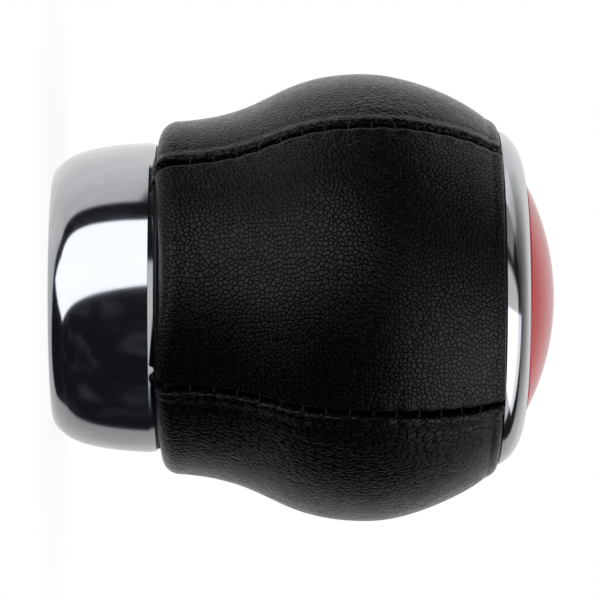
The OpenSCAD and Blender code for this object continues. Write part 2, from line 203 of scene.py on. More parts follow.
def lathe(name, outline, material, steps=224):
    """A closed solid turned from an outline of (radius, height); radius 0 is a pole."""
    points, rings = [], []
    turns = np.linspace(0, 2 * math.pi, steps, endpoint=False)
    for r, z in outline:
        if r < POLE_R:
            rings.append([len(points)] * steps)
            points.append((0, 0, z))
        else:
            rings.append(list(range(len(points), len(points) + steps)))
            points.extend((r * math.cos(a), r * math.sin(a), z) for a in turns)
    faces = []
    last_pair = len(rings) if outline[0][0] > POLE_R else len(rings) - 1
    for i in range(last_pair):
        lower, upper = rings[i], rings[(i + 1) % len(rings)]
        for k in range(steps):
            quad = (lower[k], lower[(k + 1) % steps], upper[(k + 1) % steps], upper[k])
            face = list(dict.fromkeys(quad))
            if len(face) > 2:
                faces.append(face)
    return closed_solid(name, points, faces, material)


def settle(obj, slot, *replaced):
    """Fixes a finished piece to the knob's one body."""
    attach(obj, "root")
    if replaced:
        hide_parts(*replaced)


def bake_modifiers(obj):
    """Replaces an object's mesh by its evaluated one and drops its modifiers."""
    graph = bpy.context.evaluated_depsgraph_get()
    mesh = bpy.data.meshes.new_from_object(obj.evaluated_get(graph), depsgraph=graph)
    obj.modifiers.clear()
    obj.data = mesh


# Shader groups

def add(tree, kind, inputs=None, **settings):
    """A node with its settings and the values of its named or numbered inputs."""
    node = tree.nodes.new(kind)
    for key, value in settings.items():
        setattr(node, key, value)
    for key, value in (inputs or {}).items():
        if isinstance(value, bpy.types.NodeSocket):
            tree.links.new(value, node.inputs[key])
        else:
            node.inputs[key].default_value = value
    return node


def maths(tree, operation, first, second=0.5, third=0.5):
    """A Math node's result from values or sockets."""
    return add(tree, "ShaderNodeMath", {0: first, 1: second, 2: third}, operation=operation).outputs[0]


def vector_maths(tree, operation, inputs, output="Vector"):
    """A Vector Math node's result."""
    return add(tree, "ShaderNodeVectorMath", inputs, operation=operation).outputs[output]


def one_less(tree, value):
    """What is missing from a value up to 1."""
    return maths(tree, "SUBTRACT", 1.0, value)


def smooth_step(tree, value, low, high):
    """0 below low and 1 above high, with a smooth rise between."""
    return add(tree, "ShaderNodeMapRange", {"Value": value, "From Min": low, "From Max": high},
               interpolation_type="SMOOTHSTEP").outputs["Result"]


def ramp(tree, value, low, high, start, end):
    """From start, below low, to end, above high, in a straight line between."""
    return add(tree, "ShaderNodeMapRange", {"Value": value, "From Min": low, "From Max": high,
                                            "To Min": start, "To Max": end}).outputs["Result"]


def hide_noise(tree, place, scale, detail, output="Fac"):
    """Flat noise at a place on the hide."""
    return add(tree, "ShaderNodeTexNoise", {"Vector": place, "Scale": scale, "Detail": detail},
               noise_dimensions="2D").outputs[output]


def hide_cells(tree, place, scale, feature="DISTANCE_TO_EDGE"):
    """Flat cells at a place on the hide: by default, the distance to their edges."""
    return add(tree, "ShaderNodeTexVoronoi", {"Vector": place, "Scale": scale, "Randomness": 1.0},
               voronoi_dimensions="2D", feature=feature).outputs


def shader_group(name, inputs, outputs):
    """An empty node group with float or vector inputs and float outputs."""
    tree = bpy.data.node_groups.new(name, "ShaderNodeTree")
    for label, default in inputs:
        kind = "NodeSocketVector" if default is None else "NodeSocketFloat"
        socket = tree.interface.new_socket(label, in_out="INPUT", socket_type=kind)
        if default is not None:
            socket.default_value = default
    for label in outputs:
        tree.interface.new_socket(label, in_out="OUTPUT", socket_type="NodeSocketFloat")
    return tree, tree.nodes.new("NodeGroupInput").outputs, tree.nodes.new("NodeGroupOutput").inputs


def leather_grain_group():
    """Pebbles with cracks between them, finer wrinkles and a few long creases."""
    tree, given, result = shader_group(
        "Leather Grain",
        [("Surface", None), ("Pebble Size", 0.72), ("Crease Size", 6.0), ("Crack Width", 0.24)],
        ["Height", "Cracks", "Tone"])
    per_pebble = maths(tree, "DIVIDE", 1.0, given["Pebble Size"])
    place = vector_maths(tree, "SCALE", {0: given["Surface"], "Scale": per_pebble})
    sway = hide_noise(tree, place, 0.6, 2.0, "Color")
    centred = vector_maths(tree, "SUBTRACT", {0: sway, 1: (0.5, 0.5, 0.5)})
    warped = vector_maths(tree, "MULTIPLY_ADD", {0: centred, 1: (0.5, 0.5, 0.0), 2: place})
    cell = hide_cells(tree, warped, 1.0, "F1")
    tone = add(tree, "ShaderNodeSeparateColor", {"Color": cell["Color"]}).outputs["Red"]
    pebble = smooth_step(tree, hide_cells(tree, warped, 1.0)["Distance"], 0.0, given["Crack Width"])
    crown = one_less(tree, maths(tree, "MULTIPLY", cell["Distance"], cell["Distance"]))
    fine = smooth_step(tree, hide_cells(tree, warped, 2.3)["Distance"], 0.0, 0.16)
    micro = hide_noise(tree, place, 7.0, 4.0)
    per_crease = maths(tree, "DIVIDE", given["Pebble Size"], given["Crease Size"])
    crease_place = vector_maths(tree, "SCALE", {0: warped, "Scale": per_crease})
    crease_sway = hide_noise(tree, crease_place, 2.2, 3.0, "Color")
    crease_warped = vector_maths(tree, "MULTIPLY_ADD",
                                 {0: crease_sway, 1: (0.55, 0.55, 0.0), 2: crease_place})
    crease_edge = hide_cells(tree, crease_warped, 1.0)["Distance"]
    line = one_less(tree, smooth_step(tree, crease_edge, 0.0, 0.045))
    where = hide_noise(tree, crease_place, 0.9, 1.0)
    crease = maths(tree, "MULTIPLY", line, smooth_step(tree, where, 0.45, 0.62))
    # Each layer adds its share to the height, and the creases cut into it
    body = maths(tree, "MULTIPLY_ADD", pebble, 0.45, maths(tree, "MULTIPLY", crown, 0.32))
    body = maths(tree, "MULTIPLY_ADD", maths(tree, "MULTIPLY", tone, pebble), 0.15, body)
    for layer, share in ((fine, 0.1), (micro, 0.12), (crease, -0.7)):
        body = maths(tree, "MULTIPLY_ADD", layer, share, body)
    tree.links.new(body, result["Height"])
    tree.links.new(one_less(tree, pebble), result["Cracks"])
    tree.links.new(tone, result["Tone"])


def moulded_group():
    """The fine even roughness of a moulded or plated surface, with soft handling smudges."""
    tree, given, result = shader_group(
        "Moulded Surface",
        [("Object", None), ("Texture Size", 0.4), ("Smudge Size", 9.0)],
        ["Texture", "Smudges"])
    in_mm = vector_maths(tree, "SCALE", {0: given["Object"], "Scale": 1 / MM})
    per_grain = maths(tree, "DIVIDE", 1.0, given["Texture Size"])
    per_smudge = maths(tree, "DIVIDE", 1.0, given["Smudge Size"])
    grain = add(tree, "ShaderNodeTexNoise", {"Vector": in_mm, "Scale": per_grain, "Detail": 2.0})
    smudge = add(tree, "ShaderNodeTexNoise", {"Vector": in_mm, "Scale": per_smudge, "Detail": 5.0,
                                              "Distortion": 0.6})
    tree.links.new(grain.outputs["Fac"], result["Texture"])
    tree.links.new(smudge.outputs["Fac"], result["Smudges"])


def new_material(name, **principled):
    """A node material whose Principled shader has these values."""
    material = bpy.data.materials.new(name)
    material.use_nodes = True
    shader = material.node_tree.nodes["Principled BSDF"]
    for label, value in principled.items():
        shader.inputs[label.replace("_", " ")].default_value = value
    return material, material.node_tree, shader


def wire_bump(tree, shader, height, depth_mm):
    """Joins a height to a shader's normal through a Bump node of a depth in millimetres."""
    bump = add(tree, "ShaderNodeBump", {"Height": height, "Distance": depth_mm * MM, "Strength": 1.0})
    tree.links.new(bump.outputs["Normal"], shader.inputs["Normal"])


def two_tones(tree, mask, dark, pale):
    """A colour between two tones by a mask."""
    mix = add(tree, "ShaderNodeMix", data_type="RGBA")
    colours = [s for s in mix.inputs if s.type == "RGBA"]
    colours[0].default_value = (*dark, 1)
    colours[1].default_value = (*pale, 1)
    factor = [s for s in mix.inputs if s.type == "VALUE"][0]
    tree.links.new(mask, factor)
    return [s for s in mix.outputs if s.type == "RGBA"][0]


def leather_material(settings, name, size_share, depth_share):
    """Black pebbled leather, with painted shade in its cracks; its grain follows the panel's own place on
    the hide.
    """
    material, tree, shader = new_material(name, Specular_IOR_Level=0.2,
                                          Specular_Tint=(1.0, 0.93, 0.96, 1.0))
    hide = add(tree, "ShaderNodeUVMap", uv_map="hide").outputs["UV"]
    grain = add(tree, "ShaderNodeGroup", node_tree=bpy.data.node_groups["Leather Grain"])
    tree.links.new(hide, grain.inputs["Surface"])
    grain.inputs["Pebble Size"].default_value = size_share * settings.pebble_size / MM
    colour = settings.leather_colour
    # Painted shade: the cracks' colour is darkened to 0.35 of the leather's own
    deep = tuple(0.35 * c for c in colour)
    tree.links.new(two_tones(tree, grain.outputs["Cracks"], colour, deep), shader.inputs["Base Color"])
    rough = maths(tree, "MULTIPLY_ADD", grain.outputs["Tone"], 0.1, 0.18)
    tree.links.new(rough, shader.inputs["Roughness"])
    # Painted shade in the cracks: a metal as dark as the leather reflects next to nothing, so the cracks
    # swallow the gloss
    painted_crack_gloss_shade = maths(tree, "MULTIPLY", maths(tree, "POWER", grain.outputs["Cracks"], 1.4), 0.85)
    tree.links.new(painted_crack_gloss_shade, shader.inputs["Metallic"])
    wire_bump(tree, shader, grain.outputs["Height"], depth_share * settings.grain_depth / MM)
    return material


def surface_material(name, colour, roughness, texture, depth_mm, variation=0.1, smudge=0.05,
                     **principled):
    """A moulded, plated or turned surface with its own fine texture and smudges."""
    material, tree, shader = new_material(name, **principled)
    place = add(tree, "ShaderNodeTexCoord").outputs["Object"]
    fine = add(tree, "ShaderNodeGroup", node_tree=bpy.data.node_groups["Moulded Surface"])
    tree.links.new(place, fine.inputs["Object"])
    fine.inputs["Texture Size"].default_value = texture
    dark = tuple(c * (1 - variation) for c in colour)
    tree.links.new(two_tones(tree, fine.outputs["Smudges"], dark, colour), shader.inputs["Base Color"])
    rough = maths(tree, "MULTIPLY_ADD", fine.outputs["Smudges"], smudge, roughness)
    tree.links.new(rough, shader.inputs["Roughness"])
    wire_bump(tree, shader, fine.outputs["Texture"], depth_mm)
    return material


# The sewn cover

# Steps along each hem, round each turned edge, and up the skin below and above the belly
STATION_STEPS = (5, 14, 96, 80)
ACROSS_STEPS = 96
# Shares of a seam's half width and of its depth, from the stitch line up over the fold
FOLD_WIDTH = np.array([0.0, 0.08, 0.16, 0.24, 0.31, 0.38, 0.46, 0.56, 0.7, 0.85, 1.0])
FOLD_DEPTH = np.array([1.0, 0.8, 0.6, 0.44, 0.31, 0.21, 0.13, 0.07, 0.03, 0.008, 0.0])
# The allowance folded in behind a seam: distances from the seam, and leather thicknesses there
FOLDED_ARC = np.array([0, 0.4 * ALLOWANCE_W, ALLOWANCE_W, ALLOWANCE_W + 0.1, ALLOWANCE_W + 0.7])
FOLDED_LAYERS = np.array([2, 2, 2, 1, 1])
# Distances from a seam: how far a stitch pulls the leather in, where and how far it swells and
# ripples beside that, and how far the seam's raised crown reaches over a wide and a narrow panel
PULL_REACH, SWELL_AT, SWELL_REACH, RIPPLE_REACH = 0.8, 0.7, 0.6, 1.5
SWELL_SHARE, RIPPLE_SHARE = 0.3, 0.3
WIDE_CROWN_REACH, NARROW_CROWN_REACH = 0.9, 3.5
# The doubled edge of a wide panel stands up beside its seam, with a valley behind it
PIPING_AT, PIPING_W, VALLEY_AT, VALLEY_W, VALLEY_SHARE = 1.25, 0.4, 2.2, 0.5, 0.7
# The mouth's height at the collar; pitches past the end stitches that still pull; the slots' sharpness
MOUTH_H, STITCH_FADE, SLOT_POWER = 2.4, 0.7, 0.8
# The padding's slow and quick waves, as length and height, and their mean level
PADDING_WAVES, PADDING_LEVEL = ((8.5, 0.12), (2.5, 0.018)), -0.037
PADDING_SEAM_FADE, PADDING_HEM_FADE = 2, 1.5
# How far up the hem's sway reaches, and how fast it starts outside the collar's rim
SWAY_H, SWAY_START = 2.2, 1.2
# Where each panel lies on the hide, and how the wide ones stretch the grain round and along the knob
HIDE_PLACES = {"front": (0, 0), "right": (61.3, 17.1), "rear": (123.7, 43.9), "left": (187.4, 71.2)}
WIDE_STRETCH = (0.9, 0.55)


def seam_run():
    """The skin's stations, the front panel's half angle there, and the seam's length up to them."""
    skin = meridian(0, *STATION_STEPS)
    half = np.radians(seam_half(skin[:, 1]))
    seam = np.column_stack([skin[:, 0] * np.sin(half), -skin[:, 0] * np.cos(half), skin[:, 1]])
    return skin, half, walk(seam)


def stitch_places(length, settings):
    """Where the first and last stitches stand along a seam, and how many there are."""
    first = settings.first_stitch / MM
    last = length - settings.last_stitch / MM
    count = int(round((last - first) / (settings.stitch_pitch / MM))) + 1
    return first, last, count


def mirrored(edge, middle):
    """A row for each station from one edge over the middle to the other edge, which mirrors the first."""
    return np.concatenate([-edge, middle, edge[:, ::-1]], axis=1)


def seam_relief(to_seam, wave, sewn, widest, settings):
    """How far the skin is drawn in beside its seams; the wave is 1 at a stitch and 0 between two."""
    pull = wave ** 2 * bell(to_seam, 0, PULL_REACH) * sewn
    swell = (1 - wave) * bell(to_seam, SWELL_AT, SWELL_REACH) * sewn
    ripple = (wave - 0.5) * np.exp(-to_seam / RIPPLE_REACH) * sewn
    crown = SEAM_CROWN * np.exp(-to_seam / (WIDE_CROWN_REACH if widest else NARROW_CROWN_REACH))
    relief = (settings.pucker / MM) * (pull - SWELL_SHARE * swell + RIPPLE_SHARE * ripple) - crown
    if widest:
        piping = bell(to_seam, PIPING_AT, PIPING_W) - VALLEY_SHARE * bell(to_seam, VALLEY_AT, VALLEY_W)
        relief = relief - settings.piping / MM * piping
    return relief


def padding_lift(point):
    """How far the padding lifts the skin at a point, all in millimetres."""
    waves = sum(noise.noise(Vector(point) / length) * height for length, height in PADDING_WAVES)
    return waves + PADDING_LEVEL


def lay_on_hide(obj, side, widest, u, v):
    """Maps a panel's points to their places on the hide, in millimetres, for the grain to follow."""
    stretch = WIDE_STRETCH if widest else (1.0, 1.0)
    shift = HIDE_PLACES[side]
    places = np.stack([u * stretch[0] + shift[0], v * stretch[1] + shift[1]], axis=-1).reshape(-1, 2)
    loops = np.zeros(len(obj.data.loops), int)
    obj.data.loops.foreach_get("vertex_index", loops)
    hide = obj.data.uv_layers.new(name="hide")
    hide.data.foreach_set("uv", places[loops].ravel().astype(np.float32))


def make_panel(side, facing, widest, material, settings):
    """One panel of the cover: a closed skin with rolled, puckered edges and turned hems."""
    skin, front_half, run = seam_run()
    deep = meridian(2 * LEATHER_T, *STATION_STEPS)
    rows = len(skin)
    half = math.pi / 2 - front_half if widest else front_half
    radius, height = skin[:, :1], skin[:, 1:]

    # Along the seam: where the stitches pull, and how far the two panels gape
    first, last, count = stitch_places(run[-1], settings)
    pitch = (last - first) / (count - 1)
    wave = (0.5 + 0.5 * np.cos(2 * math.pi * (run - first) / pitch))[:, None]
    sewn = np.clip((run - first + STITCH_FADE * pitch) / pitch, 0, 1)
    sewn = (sewn * np.clip((last + STITCH_FADE * pitch - run) / pitch, 0, 1))[:, None]
    mouth = settings.seam_mouth / MM * bell(height, HEM_Z, MOUTH_H)
    mouth = mouth + settings.seam_slot / MM * (1 - wave) ** SLOT_POWER * sewn
    open_share = np.minimum(1, 5 * FOLD_WIDTH) * (1 - FOLD_WIDTH)

    # Across the panel, outside: each point's angle from the panel's middle and depth below the skin
    roll_width = settings.seam_width / MM / 2
    roll_arc = roll_width * FOLD_WIDTH
    roll_depth = settings.seam_depth / MM * FOLD_DEPTH
    half = half[:, None]
    edge_turn = half - (roll_arc + SEAM_GAP / 2 + mouth * open_share) / radius
    last_turn = half - (roll_width + SEAM_GAP / 2) / radius
    share = np.linspace(-1, 1, ACROSS_STEPS + 1)[1:-1]
    outer_turn = mirrored(edge_turn, last_turn * share)
    to_seam = (half - np.abs(outer_turn)) * radius
    outer_depth = np.concatenate([roll_depth, np.zeros(len(share)), roll_depth[::-1]])
    outer_depth = outer_depth + seam_relief(to_seam, wave, sewn, widest, settings)

    # Across the panel, inside: the allowances doubled at both edges, one thickness between them
    across = outer_turn.shape[1]
    extra = across - 2 * len(FOLDED_ARC)
    folded_turn = half - (FOLDED_ARC + SEAM_GAP / 2) / radius
    inner_turn = mirrored(folded_turn, folded_turn[:, -1:] * np.linspace(-1, 1, extra + 2)[1:-1])
    layers = np.concatenate([FOLDED_LAYERS, np.ones(extra), FOLDED_LAYERS[::-1]])
    inner_depth = np.repeat(layers[None, :] * LEATHER_T, rows, axis=0)

    # A ring round the panel at each station, out over the skin and back along its inside
    turn = np.concatenate([outer_turn, inner_turn[:, ::-1]], axis=1)
    depth = np.concatenate([outer_depth, inner_depth[:, ::-1]], axis=1)
    at = skin[:, None, :] + (deep - skin)[:, None, :] * depth[:, :, None] / (2 * LEATHER_T)
    angle = math.radians(facing) + turn
    points = np.stack([at[..., 0] * np.cos(angle), at[..., 0] * np.sin(angle), at[..., 1]], axis=-1)
    normal = np.stack([np.cos(angle), np.sin(angle), np.zeros_like(angle)], axis=-1)[:, :across]
    lift = np.array([padding_lift(p) for p in points[:, :across].reshape(-1, 3)]).reshape(rows, across)
    fade = np.clip(to_seam / PADDING_SEAM_FADE, 0, 1) * np.clip((height - HEM_Z) / PADDING_HEM_FADE, 0, 1)
    points[:, :across] += normal * (lift * fade)[..., None]
    near_hem = bell(at[..., 1], HEM_Z, SWAY_H) * np.clip((at[..., 0] - COLLAR_R) / SWAY_START, 0, 1)
    points[..., 2] += HEM_SWAY * np.cos(4 * angle) * near_hem

    ring = 2 * across
    index = np.arange(rows * ring).reshape(rows, ring)
    ahead = np.roll(index, -1, axis=1)
    walls = np.stack([index[:-1], ahead[:-1], ahead[1:], index[1:]], axis=-1).reshape(-1, 4)
    k = np.arange(across - 1)
    bottom = np.stack([k, ring - 1 - k, ring - 2 - k, k + 1], axis=-1)
    top = np.stack([k, k + 1, ring - 2 - k, ring - 1 - k], axis=-1) + (rows - 1) * ring
    faces = np.concatenate([walls, bottom, top]).tolist()
    obj = mesh_object("cover_" + side, points.reshape(-1, 3), faces, material)

    # Places on the hide are distances walked over the skin, down the rolled edges too
    wrapped = walk(np.column_stack([roll_arc, roll_depth]))
    bend = np.concatenate([wrapped[-1] - wrapped, np.zeros(len(share)), (wrapped[-1] - wrapped)[::-1]])
    u_out = np.clip(outer_turn, -last_turn, last_turn) * radius + np.sign(outer_turn) * bend
    u = np.concatenate([u_out, inner_turn[:, ::-1] * radius], axis=1)
    v = np.repeat(walk(skin)[:, None], ring, axis=1)
    lay_on_hide(obj, side, widest, u, v)
    return obj


def size_property(name, description, size_mm):
    """A length that a user may change, from its default in millimetres."""
    return FloatProperty(name=name, description=description, default=size_mm * MM, unit="LENGTH",
                         precision=5)


def colour_property(name, description, colour):
    """A colour that a user may change."""
    return FloatVectorProperty(name=name, description=description, default=colour, subtype="COLOR",
                               min=0, max=1)


class CoverSettings(bpy.types.PropertyGroup):
    """Sizes and colours of the sewn cover"""
    leather_colour: colour_property("Leather", "Colour of the leather", (0.0026, 0.0021, 0.0022))
    thread_colour: colour_property("Thread", "Colour of the sewing thread", (0.004, 0.0036, 0.0038))
    pebble_size: size_property("Pebble Size", "Width of one pebble of the grain", 0.54)
    grain_depth: size_property("Grain Depth", "Depth of the cracks between the pebbles", 0.042)
    stitch_pitch: size_property("Stitch Pitch", "Distance between two stitches", 2.6)
    first_stitch: size_property("First Stitch", "Start of the seam to the first stitch", 8.0)
    last_stitch: size_property("Last Stitch", "Last stitch to the end of the seam", 8.2)
    thread_radius: size_property("Thread Radius", "Radius of the sewing thread", 0.13)
    stitch_reach: size_property("Stitch Reach", "Seam to the hole that a stitch enters", 0.52)
    pucker: size_property("Pucker", "How far a stitch pulls the leather in", 0.14)
    piping: size_property("Piping", "Height of the doubled edge of a side panel along its seam", 0.09)
    seam_mouth: size_property("Seam Mouth", "How far a seam opens at the collar", 0.5)
    seam_width: size_property("Seam Width", "Width of the groove between two panels", 1.9)
    seam_depth: size_property("Seam Depth", "Depth of the groove down to its stitch line", 1.5)
    seam_slot: size_property("Seam Slot", "How far a seam opens between two stitches", 0.12)
    seed: IntProperty(name="Seed", description="Seed of the stitches' small differences", default=4)


# The drawn leather's pebble size and grain depth, as shares of the pebbled leather's
DRAWN_SIZE, DRAWN_DEPTH = 1.02, 1.45


class KNOB_OT_sew_cover(bpy.types.Operator):
    """Sew the four leather panels of the cover"""
    bl_idname = "knob.sew_cover"
    bl_label = "Sew Cover"

    def execute(self, context):
        settings = context.scene.knob_cover
        leather_grain_group()
        pebbled = leather_material(settings, "Pebbled Black Leather", 1.0, 1.0)
        drawn = leather_material(settings, "Stretched Black Leather", DRAWN_SIZE, DRAWN_DEPTH)
        for side, facing, widest in PANELS:
            obj = make_panel(side, facing, widest, drawn if widest else pebbled, settings)
            settle(obj, "leather", "leather_" + side)
        return {"FINISHED"}


# How deep the thread sinks, the shares of that at its holes and at its crest, the most that a
# stitch leans, in radians, and the least and most that it is scaled
THREAD_SINK, HOLE_SINK, CREST_SINK, STITCH_LEAN = 0.42, 1.35, 0.35, 0.14
STITCH_SCALES = ((0.9, 0.92, 0.9), (1.1, 1.08, 1.12))
ARCH_STEPS, THREAD_SIDES, SEAM_POINTS = 8, 8, 200


def stitch_tree(settings, count):
    """Geometry nodes that lay a thread across a seam at equal steps."""
    tree = bpy.data.node_groups.new("Seam Stitches", "GeometryNodeTree")
    tree.interface.new_socket("Geometry", in_out="INPUT", socket_type="NodeSocketGeometry")
    values = (("Stitch Count", "Int", count), ("Thread Radius", "Float", settings.thread_radius),
              ("Reach", "Float", settings.stitch_reach), ("Sink", "Float", THREAD_SINK * MM),
              ("Seed", "Int", settings.seed))
    for label, kind, default in values:
        socket = tree.interface.new_socket(label, in_out="INPUT", socket_type="NodeSocket" + kind)
        socket.default_value = default
    tree.interface.new_socket("Thread", in_out="INPUT", socket_type="NodeSocketMaterial")
    tree.interface.new_socket("Geometry", in_out="OUTPUT", socket_type="NodeSocketGeometry")
    given = tree.nodes.new("NodeGroupInput").outputs
    path = add(tree, "GeometryNodeMeshToCurve", {"Mesh": given["Geometry"]}).outputs["Curve"]
    even = add(tree, "GeometryNodeResampleCurve",
               {"Curve": path, "Count": given["Stitch Count"]}).outputs["Curve"]
    tangent = tree.nodes.new("GeometryNodeInputTangent").outputs["Tangent"]
    outward = add(tree, "GeometryNodeInputNamedAttribute", {"Name": "outward"},
                  data_type="FLOAT_VECTOR").outputs["Attribute"]
    stand = add(tree, "FunctionNodeAxesToRotation", {"Primary Axis": outward, "Secondary Axis": tangent},
                primary_axis="Z", secondary_axis="X").outputs["Rotation"]
    number = tree.nodes.new("GeometryNodeInputIndex").outputs["Index"]

    def random_vector(low, high, seed):
        """A vector between two others, drawn for each stitch."""
        return add(tree, "FunctionNodeRandomValue", {"Min": low, "Max": high, "ID": number, "Seed": seed},
                   data_type="FLOAT_VECTOR").outputs["Value"]

    lean = random_vector((0.0, 0.0, -STITCH_LEAN), (0.0, 0.0, STITCH_LEAN), given["Seed"])
    lean_turn = add(tree, "FunctionNodeEulerToRotation", {"Euler": lean}).outputs["Rotation"]
    turned = add(tree, "FunctionNodeRotateRotation", {"Rotation": stand, "Rotate By": lean_turn},
                 rotation_space="LOCAL").outputs["Rotation"]
    next_seed = add(tree, "FunctionNodeIntegerMath", {0: given["Seed"], 1: 1}, operation="ADD")
    scale = random_vector(*STITCH_SCALES, next_seed.outputs["Value"])
    minus_reach = maths(tree, "MULTIPLY", given["Reach"], -1.0)
    low = maths(tree, "MULTIPLY", given["Sink"], -HOLE_SINK)
    high = maths(tree, "MULTIPLY", given["Sink"], -CREST_SINK)
    start = add(tree, "ShaderNodeCombineXYZ", {"Y": minus_reach, "Z": low}).outputs[0]
    middle = add(tree, "ShaderNodeCombineXYZ", {"Z": high}).outputs[0]
    end = add(tree, "ShaderNodeCombineXYZ", {"Y": given["Reach"], "Z": low}).outputs[0]
    arch = add(tree, "GeometryNodeCurveQuadraticBezier",
               {"Resolution": ARCH_STEPS, "Start": start, "Middle": middle, "End": end}).outputs["Curve"]
    ring = add(tree, "GeometryNodeCurvePrimitiveCircle",
               {"Resolution": THREAD_SIDES, "Radius": given["Thread Radius"]}).outputs["Curve"]
    tube = add(tree, "GeometryNodeCurveToMesh",
               {"Curve": arch, "Profile Curve": ring, "Fill Caps": True}).outputs["Mesh"]
    placed = add(tree, "GeometryNodeInstanceOnPoints", {"Points": even, "Instance": tube,
                 "Rotation": turned, "Scale": scale}).outputs["Instances"]
    real = add(tree, "GeometryNodeRealizeInstances", {"Geometry": placed}).outputs["Geometry"]
    smooth = add(tree, "GeometryNodeSetShadeSmooth", {"Geometry": real}).outputs["Geometry"]
    inked = add(tree, "GeometryNodeSetMaterial",
                {"Geometry": smooth, "Material": given["Thread"]}).outputs["Geometry"]
    tree.links.new(inked, tree.nodes.new("NodeGroupOutput").inputs["Geometry"])
    return tree


class KNOB_OT_lay_stitches(bpy.types.Operator):
    """Lay the sewing thread across the four seams"""
    bl_idname = "knob.lay_stitches"
    bl_label = "Lay Stitches"

    def execute(self, context):
        settings = context.scene.knob_cover
        thread = surface_material("Black Waxed Thread", settings.thread_colour, 0.45, 0.12, 0.03,
                                  Specular_IOR_Level=0.12)
        skin, half, run = seam_run()
        first, last, count = stitch_places(run[-1], settings)
        tree = stitch_tree(settings, count)
        sockets = {s.name: s.identifier for s in tree.interface.items_tree if s.in_out == "INPUT"}
        slope = np.gradient(skin, axis=0)
        slope /= np.linalg.norm(slope, axis=1)[:, None]
        chosen = np.linspace(first, last, SEAM_POINTS)
        for number in range(4):
            side = 1 if number % 2 else -1
            base = -math.pi / 2 if number < 2 else math.pi / 2
            angle = base + side * half
            path = np.column_stack([skin[:, 0] * np.cos(angle), skin[:, 0] * np.sin(angle), skin[:, 1]])
            out = np.column_stack([slope[:, 1] * np.cos(angle), slope[:, 1] * np.sin(angle), -slope[:, 0]])
            path = path + THREAD_LIFT * out
            path = np.column_stack([np.interp(chosen, run, path[:, i]) for i in range(3)])
            out = np.column_stack([np.interp(chosen, run, out[:, i]) for i in range(3)])
            mesh = bpy.data.meshes.new("seam_path")
            mesh.from_pydata((path * MM).tolist(), [(i, i + 1) for i in range(len(path) - 1)], [])
            outward = mesh.attributes.new("outward", "FLOAT_VECTOR", "POINT")
            outward.data.foreach_set("vector", out.ravel().astype(np.float32))
            obj = show(bpy.data.objects.new("stitches_" + str(number + 1), mesh))
            modifier = obj.modifiers.new("Stitches", "NODES")
            modifier.node_group = tree
            modifier[sockets["Seed"]] = settings.seed + 10 * number
            modifier[sockets["Thread"]] = thread
            bake_modifiers(obj)
            if len(obj.data.polygons) < count * THREAD_SIDES:
                raise RuntimeError("the stitches came out empty")
            settle(obj, "leather")
        return {"FINISHED"}


# Chrome and cap

COLLAR_FOOT_R, COLLAR_TAPER, COLLAR_EDGE, FOOT_ROUND = 14.0, 1.85, 0.45, 1.7
COLLAR_WALL, GAITER_R, COLLAR_SEAT, WEB_T, SLEEVE_R = 1.7, 12.0, 2.8, 3.0, 7.15
SCREW_TURNS, SCREW_AT = (60, 180, 300), 9.5
SCREW_HOLE_R, SCREW_SEAT_R, SCREW_SEAT_DEPTH = 1.4, 2.35, 1.5
DRILL_PAST, DRILL_STEPS = 1, 48
# The collar's rim: a conical band that slopes in, in degrees, under a small rounded lip
LIP_RISE, LIP_SLOPE, LIP_ROUND, LIP_W = 0.25, 14.0, 0.1, 0.35


def collar_outline():
    """The collar's section, from the foot up outside and down inside."""
    shoulder, top = COLLAR_R - COLLAR_TAPER, COLLAR_H - COLLAR_EDGE
    web_top = COLLAR_H - COLLAR_SEAT
    recess = web_top - WEB_T
    spread = shoulder - COLLAR_FOOT_R
    height = top - FOOT_ROUND
    outside = [(COLLAR_FOOT_R, 0)]
    outside += list(bezier((COLLAR_FOOT_R, 0), (COLLAR_FOOT_R + 0.37 * spread, 0),
                           (shoulder - 0.26 * spread, 0.53 * FOOT_ROUND), (shoulder, FOOT_ROUND), 16))
    outside += list(bezier((shoulder, FOOT_ROUND),
                           (COLLAR_R - 0.43 * COLLAR_TAPER, FOOT_ROUND + 0.16 * height),
                           (COLLAR_R - 0.08 * COLLAR_TAPER, FOOT_ROUND + 0.5 * height),
                           (COLLAR_R, top), 40))
    # Points close to the band's edges keep its shading and the side's from running into each other
    outside.insert(-1, 0.1 * outside[-2] + 0.9 * outside[-1])
    lip_top = COLLAR_H + LIP_RISE
    band = lip_top - LIP_ROUND - top
    lip_r = COLLAR_R - band * math.tan(math.radians(LIP_SLOPE))
    outside += [(COLLAR_R + (lip_r - COLLAR_R) * t, top + band * t) for t in (0.06, 0.5, 0.94)]
    outside += [(lip_r - LIP_ROUND * (1 - math.cos(a)), lip_top - LIP_ROUND + LIP_ROUND * math.sin(a))
                for a in np.radians(np.linspace(0, 90, 6))]
    outside.append((COLLAR_R - LIP_W, lip_top))
    inner = COLLAR_R - COLLAR_WALL
    inside = fillet([(COLLAR_R - LIP_W, COLLAR_H, 0.02), (inner, COLLAR_H, 0.12), (inner, web_top, 0.3),
                     (SLEEVE_R, web_top, 0.2), (SLEEVE_R, recess, 0.3), (GAITER_R, recess, 0.4),
                     (GAITER_R, 0.5, 0.25), (GAITER_R + 0.5, 0, 0.15)])
    return [np.array(p) for p in outside] + inside


def drill(obj, outline, x, y):
    """Cuts a hole out of a solid, turned from an outline of (radius, height) about a place."""
    cutter = lathe("cutter", outline, obj.data.materials[0], DRILL_STEPS)
    # Half a step round, the hole turns a flat and not a corner to the bore that it almost touches
    cutter.data.transform(Matrix.Rotation(math.pi / DRILL_STEPS, 4, "Z"))
    cutter.data.transform(Matrix.Translation((x * MM, y * MM, 0)))
    cut = obj.modifiers.new("Drill", "BOOLEAN")
    cut.operation, cut.solver, cut.object = "DIFFERENCE", "EXACT", cutter
    bake_modifiers(obj)
    bpy.data.objects.remove(cutter)


